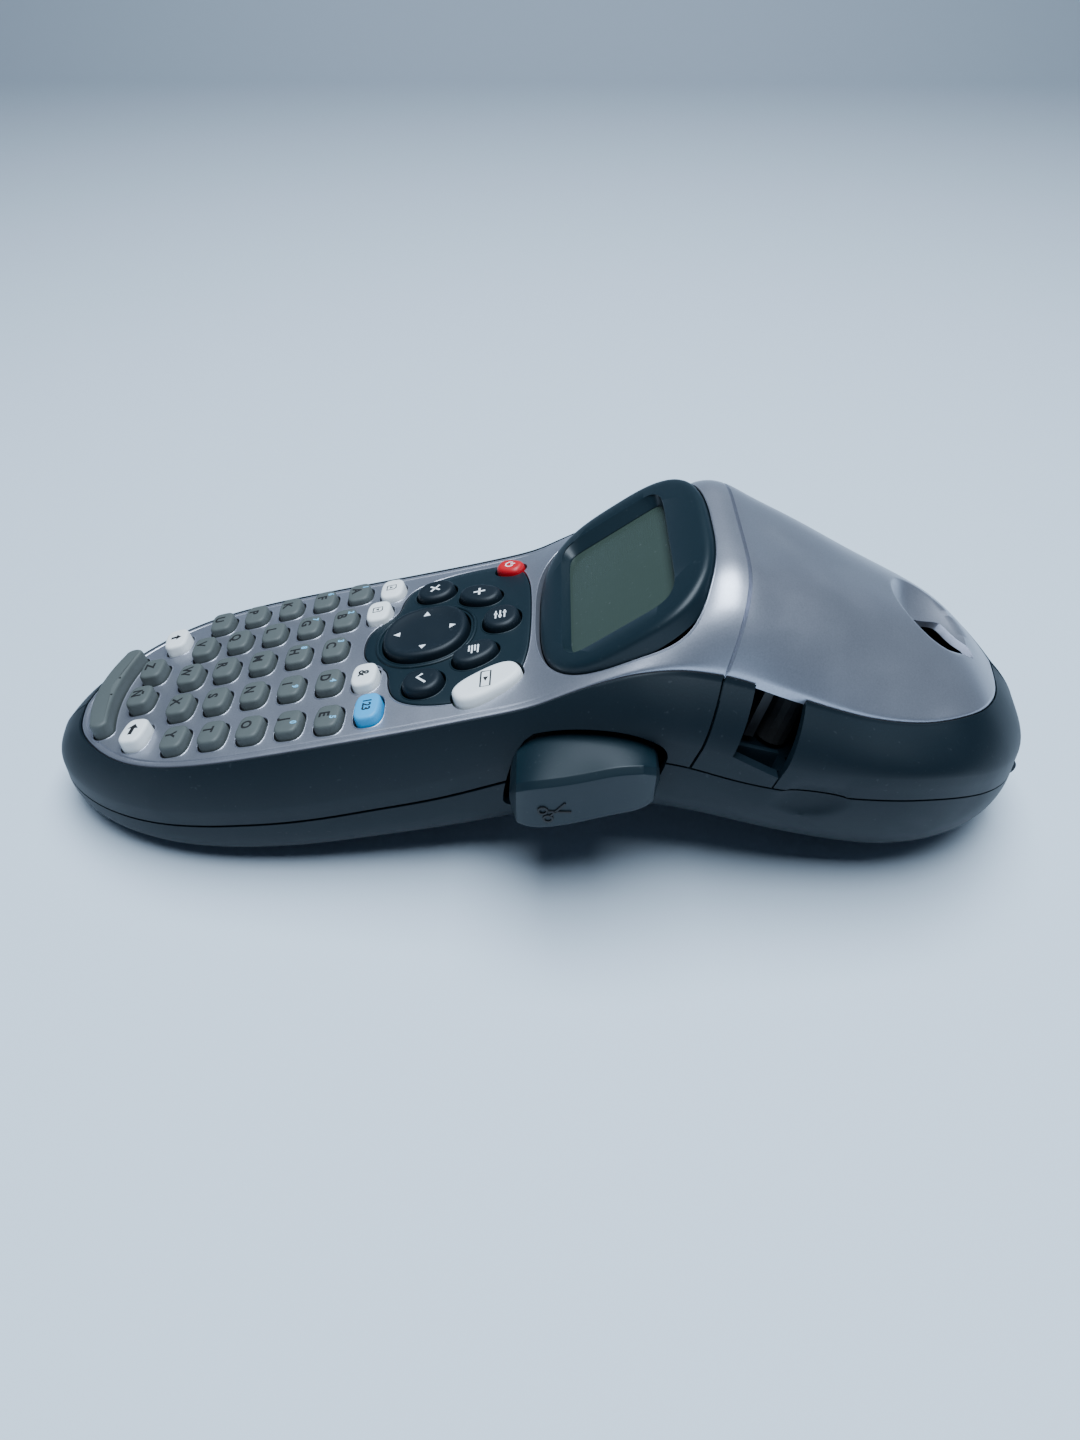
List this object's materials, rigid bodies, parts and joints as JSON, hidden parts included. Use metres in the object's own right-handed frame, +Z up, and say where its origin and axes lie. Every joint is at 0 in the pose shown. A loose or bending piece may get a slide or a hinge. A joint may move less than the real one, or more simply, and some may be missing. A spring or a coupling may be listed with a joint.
{
  "type": "label maker",
  "caption": "Hand-held label maker with a curved keyboard handle, raised display, tape head with a hinged lid, and a side cutter lever",
  "frame": {"origin": "on the table under the middle of the bounding box", "axes": "+X from the tail of the handle to the nose of the tape head, +Y away from the cutter lever, +Z up from the table"},
  "size_m": [0.2014, 0.0764, 0.0646],
  "materials": {
    "dark_shell": "fine matte texture, dark slate blue",
    "silver_shell": "satin metallic silver paint over moulded plastic",
    "dark_panel": "satin, dark slate blue",
    "letter_key": "soft matte grey",
    "white_key": "soft matte white",
    "dark_key": "soft matte dark",
    "blue_key": "soft matte sky blue",
    "red_key": "soft matte red",
    "lcd": "clear window over a grey green display",
    "steel": "plain",
    "tape_shell": "moulded",
    "roller_rubber": "matt black",
    "gear_plastic": "natural acetal",
    "board": "green solder resist"
  },
  "bodies": {
    "housing": {"rear_housing": "dark_shell", "front_housing": "dark_shell", "keyboard_fascia": "silver_shell", "function_panel": "dark_panel", "display_bezel": "dark_panel", "lcd_module": "lcd", "bay_frame": "dark_shell", "hinge_pin": "steel", "tape_cassette": "tape_shell", "print_head": "steel", "drive_motor": "steel", "main_board": "board"},
    "key_a": {"key_a": "letter_key"},
    "key_b": {"key_b": "letter_key"},
    "key_c": {"key_c": "letter_key"},
    "key_d": {"key_d": "letter_key"},
    "key_e": {"key_e": "letter_key"},
    "key_f": {"key_f": "letter_key"},
    "key_g": {"key_g": "letter_key"},
    "key_h": {"key_h": "letter_key"},
    "key_i": {"key_i": "letter_key"},
    "key_j": {"key_j": "letter_key"},
    "key_k": {"key_k": "letter_key"},
    "key_l": {"key_l": "letter_key"},
    "key_m": {"key_m": "letter_key"},
    "key_n": {"key_n": "letter_key"},
    "key_o": {"key_o": "letter_key"},
    "key_p": {"key_p": "letter_key"},
    "key_q": {"key_q": "letter_key"},
    "key_r": {"key_r": "letter_key"},
    "key_s": {"key_s": "letter_key"},
    "key_t": {"key_t": "letter_key"},
    "key_u": {"key_u": "letter_key"},
    "key_v": {"key_v": "letter_key"},
    "key_w": {"key_w": "letter_key"},
    "key_x": {"key_x": "letter_key"},
    "key_y": {"key_y": "letter_key"},
    "key_z": {"key_z": "letter_key"},
    "key_enye": {"key_enye": "letter_key"},
    "key_caps": {"key_caps": "white_key"},
    "key_erase": {"key_erase": "white_key"},
    "key_save": {"key_save": "white_key"},
    "key_open": {"key_open": "white_key"},
    "key_symbol": {"key_symbol": "white_key"},
    "key_numlock": {"key_numlock": "blue_key"},
    "nav_pad": {"nav_pad": "dark_key"},
    "key_cancel": {"key_cancel": "dark_key"},
    "key_insert": {"key_insert": "dark_key"},
    "key_settings": {"key_settings": "dark_key"},
    "key_format": {"key_format": "dark_key"},
    "key_ok": {"key_ok": "dark_key"},
    "key_print": {"key_print": "white_key"},
    "key_power": {"key_power": "red_key"},
    "key_space": {"key_space": "letter_key"},
    "cutter_lever": {"cutter_lever": "dark_panel"},
    "cutter_blade": {"cutter_blade": "steel"},
    "cassette_door": {"cassette_door": "silver_shell"},
    "battery_cover": {"battery_cover": "dark_shell"},
    "platen_roller": {"platen_roller": "roller_rubber"},
    "drive_pinion": {"drive_pinion": "gear_plastic"}
  },
  "joints": [
    {"name": "key_a_press", "type": "slide", "parent": "housing", "child": "key_a", "axis": [0.2188, 0, -0.9758], "range_m": [0, 0.0012], "stiffness_N_per_m": 400, "springref_m": -0.0002},
    {"name": "key_b_press", "type": "slide", "parent": "housing", "child": "key_b", "axis": [0.2188, 0, -0.9758], "range_m": [0, 0.0012], "stiffness_N_per_m": 400, "springref_m": -0.0002},
    {"name": "key_c_press", "type": "slide", "parent": "housing", "child": "key_c", "axis": [0.2188, 0, -0.9758], "range_m": [0, 0.0012], "stiffness_N_per_m": 400, "springref_m": -0.0002},
    {"name": "key_d_press", "type": "slide", "parent": "housing", "child": "key_d", "axis": [0.2188, 0, -0.9758], "range_m": [0, 0.0012], "stiffness_N_per_m": 400, "springref_m": -0.0002},
    {"name": "key_e_press", "type": "slide", "parent": "housing", "child": "key_e", "axis": [0.2188, 0, -0.9758], "range_m": [0, 0.0012], "stiffness_N_per_m": 400, "springref_m": -0.0002},
    {"name": "key_f_press", "type": "slide", "parent": "housing", "child": "key_f", "axis": [0.2188, 0, -0.9758], "range_m": [0, 0.0012], "stiffness_N_per_m": 400, "springref_m": -0.0002},
    {"name": "key_g_press", "type": "slide", "parent": "housing", "child": "key_g", "axis": [0.2188, 0, -0.9758], "range_m": [0, 0.0012], "stiffness_N_per_m": 400, "springref_m": -0.0002},
    {"name": "key_h_press", "type": "slide", "parent": "housing", "child": "key_h", "axis": [0.2188, 0, -0.9758], "range_m": [0, 0.0012], "stiffness_N_per_m": 400, "springref_m": -0.0002},
    {"name": "key_i_press", "type": "slide", "parent": "housing", "child": "key_i", "axis": [0.2188, 0, -0.9758], "range_m": [0, 0.0012], "stiffness_N_per_m": 400, "springref_m": -0.0002},
    {"name": "key_j_press", "type": "slide", "parent": "housing", "child": "key_j", "axis": [0.2188, 0, -0.9758], "range_m": [0, 0.0012], "stiffness_N_per_m": 400, "springref_m": -0.0002},
    {"name": "key_k_press", "type": "slide", "parent": "housing", "child": "key_k", "axis": [0.2188, 0, -0.9758], "range_m": [0, 0.0012], "stiffness_N_per_m": 400, "springref_m": -0.0002},
    {"name": "key_l_press", "type": "slide", "parent": "housing", "child": "key_l", "axis": [0.2188, 0, -0.9758], "range_m": [0, 0.0012], "stiffness_N_per_m": 400, "springref_m": -0.0002},
    {"name": "key_m_press", "type": "slide", "parent": "housing", "child": "key_m", "axis": [0.2188, 0, -0.9758], "range_m": [0, 0.0012], "stiffness_N_per_m": 400, "springref_m": -0.0002},
    {"name": "key_n_press", "type": "slide", "parent": "housing", "child": "key_n", "axis": [0.2188, 0, -0.9758], "range_m": [0, 0.0012], "stiffness_N_per_m": 400, "springref_m": -0.0002},
    {"name": "key_o_press", "type": "slide", "parent": "housing", "child": "key_o", "axis": [0.2188, 0, -0.9758], "range_m": [0, 0.0012], "stiffness_N_per_m": 400, "springref_m": -0.0002},
    {"name": "key_p_press", "type": "slide", "parent": "housing", "child": "key_p", "axis": [0.2188, 0, -0.9758], "range_m": [0, 0.0012], "stiffness_N_per_m": 400, "springref_m": -0.0002},
    {"name": "key_q_press", "type": "slide", "parent": "housing", "child": "key_q", "axis": [0.2188, 0, -0.9758], "range_m": [0, 0.0012], "stiffness_N_per_m": 400, "springref_m": -0.0002},
    {"name": "key_r_press", "type": "slide", "parent": "housing", "child": "key_r", "axis": [0.2188, 0, -0.9758], "range_m": [0, 0.0012], "stiffness_N_per_m": 400, "springref_m": -0.0002},
    {"name": "key_s_press", "type": "slide", "parent": "housing", "child": "key_s", "axis": [0.2188, 0, -0.9758], "range_m": [0, 0.0012], "stiffness_N_per_m": 400, "springref_m": -0.0002},
    {"name": "key_t_press", "type": "slide", "parent": "housing", "child": "key_t", "axis": [0.2188, 0, -0.9758], "range_m": [0, 0.0012], "stiffness_N_per_m": 400, "springref_m": -0.0002},
    {"name": "key_u_press", "type": "slide", "parent": "housing", "child": "key_u", "axis": [0.2188, 0, -0.9758], "range_m": [0, 0.0012], "stiffness_N_per_m": 400, "springref_m": -0.0002},
    {"name": "key_v_press", "type": "slide", "parent": "housing", "child": "key_v", "axis": [0.2188, 0, -0.9758], "range_m": [0, 0.0012], "stiffness_N_per_m": 400, "springref_m": -0.0002},
    {"name": "key_w_press", "type": "slide", "parent": "housing", "child": "key_w", "axis": [0.2188, 0, -0.9758], "range_m": [0, 0.0012], "stiffness_N_per_m": 400, "springref_m": -0.0002},
    {"name": "key_x_press", "type": "slide", "parent": "housing", "child": "key_x", "axis": [0.2188, 0, -0.9758], "range_m": [0, 0.0012], "stiffness_N_per_m": 400, "springref_m": -0.0002},
    {"name": "key_y_press", "type": "slide", "parent": "housing", "child": "key_y", "axis": [0.2188, 0, -0.9758], "range_m": [0, 0.0012], "stiffness_N_per_m": 400, "springref_m": -0.0002},
    {"name": "key_z_press", "type": "slide", "parent": "housing", "child": "key_z", "axis": [0.2188, 0, -0.9758], "range_m": [0, 0.0012], "stiffness_N_per_m": 400, "springref_m": -0.0002},
    {"name": "key_enye_press", "type": "slide", "parent": "housing", "child": "key_enye", "axis": [0.2188, 0, -0.9758], "range_m": [0, 0.0012], "stiffness_N_per_m": 400, "springref_m": -0.0002},
    {"name": "key_caps_press", "type": "slide", "parent": "housing", "child": "key_caps", "axis": [0.2188, 0, -0.9758], "range_m": [0, 0.0012], "stiffness_N_per_m": 400, "springref_m": -0.0002},
    {"name": "key_erase_press", "type": "slide", "parent": "housing", "child": "key_erase", "axis": [0.2188, 0, -0.9758], "range_m": [0, 0.0012], "stiffness_N_per_m": 400, "springref_m": -0.0002},
    {"name": "key_save_press", "type": "slide", "parent": "housing", "child": "key_save", "axis": [0.2188, 0, -0.9758], "range_m": [0, 0.0012], "stiffness_N_per_m": 400, "springref_m": -0.0002},
    {"name": "key_open_press", "type": "slide", "parent": "housing", "child": "key_open", "axis": [0.2188, 0, -0.9758], "range_m": [0, 0.0012], "stiffness_N_per_m": 400, "springref_m": -0.0002},
    {"name": "key_symbol_press", "type": "slide", "parent": "housing", "child": "key_symbol", "axis": [0.2188, 0, -0.9758], "range_m": [0, 0.0012], "stiffness_N_per_m": 400, "springref_m": -0.0002},
    {"name": "key_numlock_press", "type": "slide", "parent": "housing", "child": "key_numlock", "axis": [0.2188, 0, -0.9758], "range_m": [0, 0.0012], "stiffness_N_per_m": 400, "springref_m": -0.0002},
    {"name": "nav_pad_press", "type": "slide", "parent": "housing", "child": "nav_pad", "axis": [0.2188, 0, -0.9758], "range_m": [0, 0.0012], "stiffness_N_per_m": 400, "springref_m": -0.0002},
    {"name": "key_cancel_press", "type": "slide", "parent": "housing", "child": "key_cancel", "axis": [0.2188, 0, -0.9758], "range_m": [0, 0.0012], "stiffness_N_per_m": 400, "springref_m": -0.0002},
    {"name": "key_insert_press", "type": "slide", "parent": "housing", "child": "key_insert", "axis": [0.2188, 0, -0.9758], "range_m": [0, 0.0012], "stiffness_N_per_m": 400, "springref_m": -0.0002},
    {"name": "key_settings_press", "type": "slide", "parent": "housing", "child": "key_settings", "axis": [0.2188, 0, -0.9758], "range_m": [0, 0.0012], "stiffness_N_per_m": 400, "springref_m": -0.0002},
    {"name": "key_format_press", "type": "slide", "parent": "housing", "child": "key_format", "axis": [0.2188, 0, -0.9758], "range_m": [0, 0.0012], "stiffness_N_per_m": 400, "springref_m": -0.0002},
    {"name": "key_ok_press", "type": "slide", "parent": "housing", "child": "key_ok", "axis": [0.2188, 0, -0.9758], "range_m": [0, 0.0012], "stiffness_N_per_m": 400, "springref_m": -0.0002},
    {"name": "key_print_press", "type": "slide", "parent": "housing", "child": "key_print", "axis": [0.2188, 0, -0.9758], "range_m": [0, 0.0012], "stiffness_N_per_m": 400, "springref_m": -0.0002},
    {"name": "key_power_press", "type": "slide", "parent": "housing", "child": "key_power", "axis": [0.2188, 0, -0.9758], "range_m": [0, 0.0012], "stiffness_N_per_m": 400, "springref_m": -0.0002},
    {"name": "key_space_press", "type": "slide", "parent": "housing", "child": "key_space", "axis": [0.2188, 0, -0.9758], "range_m": [0, 0.0012], "stiffness_N_per_m": 400, "springref_m": -0.0002},
    {"name": "cutter_push", "type": "slide", "parent": "housing", "child": "cutter_lever", "axis": [0, 1, 0], "range_m": [0, 0.0045], "stiffness_N_per_m": 600, "springref_m": -0.0015},
    {"name": "blade_slide", "type": "slide", "parent": "housing", "child": "cutter_blade", "axis": [1, 0, 0], "range_m": [0, 0.0045]},
    {"name": "door_hinge", "type": "hinge", "parent": "housing", "child": "cassette_door", "pos_m": [0.09725, 0.002, 0.0138], "axis": [0, 1, 0], "range_deg": [0, 60]},
    {"name": "battery_cover_hinge", "type": "hinge", "parent": "housing", "child": "battery_cover", "pos_m": [-0.04875, 0.002, 0.00025], "axis": [0, 1, 0], "range_deg": [0, 70]},
    {"name": "platen_spin", "type": "hinge", "parent": "housing", "child": "platen_roller", "pos_m": [0.04662, -0.0204, 0.0375], "axis": [0.2588, 0, 0.9659], "continuous": true},
    {"name": "pinion_spin", "type": "hinge", "parent": "housing", "child": "drive_pinion", "pos_m": [0.05338, -0.0134, 0.03569], "axis": [0.2588, 0, 0.9659], "continuous": true}
  ],
  "couplings": [
    {"joint": "blade_slide", "follows": "cutter_push", "ratio": 1},
    {"joint": "pinion_spin", "follows": "platen_spin", "ratio": -2}
  ]
}
